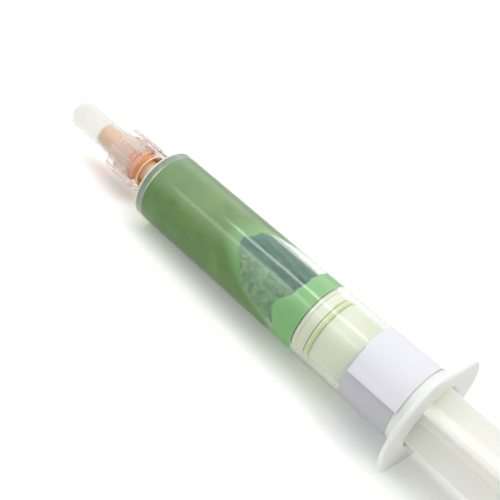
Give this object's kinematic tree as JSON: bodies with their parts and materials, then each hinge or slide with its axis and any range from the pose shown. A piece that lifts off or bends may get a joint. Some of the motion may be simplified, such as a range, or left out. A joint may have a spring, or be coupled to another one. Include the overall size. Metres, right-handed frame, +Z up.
{
  "type": "diamond paste syringe",
  "caption": "Capped plastic syringe lying flat, filled with green diamond polishing paste; barrel with finger flange, ribbed plunger, amber luer hub, clear lock collar.",
  "frame": {"origin": "on the floor under the middle of the syringe's length", "axes": "+X along the floor towards the tip, +Z up; the syringe's own axis leans 2.40 degrees nose down from +X"},
  "size_m": [0.136, 0.0232, 0.0201],
  "materials": {
    "natural_pp": "clear to milky moulded polypropylene, glossy",
    "amber_pp": "amber moulded plastic, glossy",
    "clear_plastic": "clear hard plastic, polished",
    "milky_pp": "milky moulded polypropylene, satin",
    "white_pp": "off-white moulded polypropylene, satin",
    "ring_rubber": "pale yellow elastomer",
    "green_paste": "green oily abrasive paste, slightly streaked",
    "label_paper": "matt white paper"
  },
  "bodies": {
    "barrel": {"barrel": "natural_pp", "nozzle_hub": "amber_pp", "paste": "green_paste", "label": "label_paper"},
    "piston_seal": {"seal_ring": "ring_rubber"},
    "plunger": {"plunger": "white_pp"},
    "lock_collar": {"lock_collar": "clear_plastic"},
    "tip_cap": {"tip_cap": "milky_pp"}
  },
  "joints": [
    {"name": "plunger_slide", "type": "slide", "parent": "barrel", "child": "piston_seal", "axis": [0.9991, 0, -0.0419], "range_m": [-0.0089, 0.0382], "deforming": ["paste"]},
    {"name": "plunger_turn", "type": "hinge", "parent": "piston_seal", "child": "plunger", "pos_m": [-0.02246, 0, 0.00968], "axis": [0.9991, 0, -0.0419], "continuous": true},
    {"name": "collar_turn", "type": "hinge", "parent": "barrel", "child": "lock_collar", "pos_m": [0.04648, 0, 0.00679], "axis": [-0.9991, 0, 0.0419], "range_deg": [0, 273.6]},
    {"name": "cap_travel", "type": "slide", "parent": "barrel", "child": "tip_cap", "axis": [0.9991, 0, -0.0419], "range_m": [0, 0.0038]}
  ],
  "couplings": [
    {"joint": "collar_turn", "follows": "cap_travel", "rad_per_m": 1256.6}
  ]
}
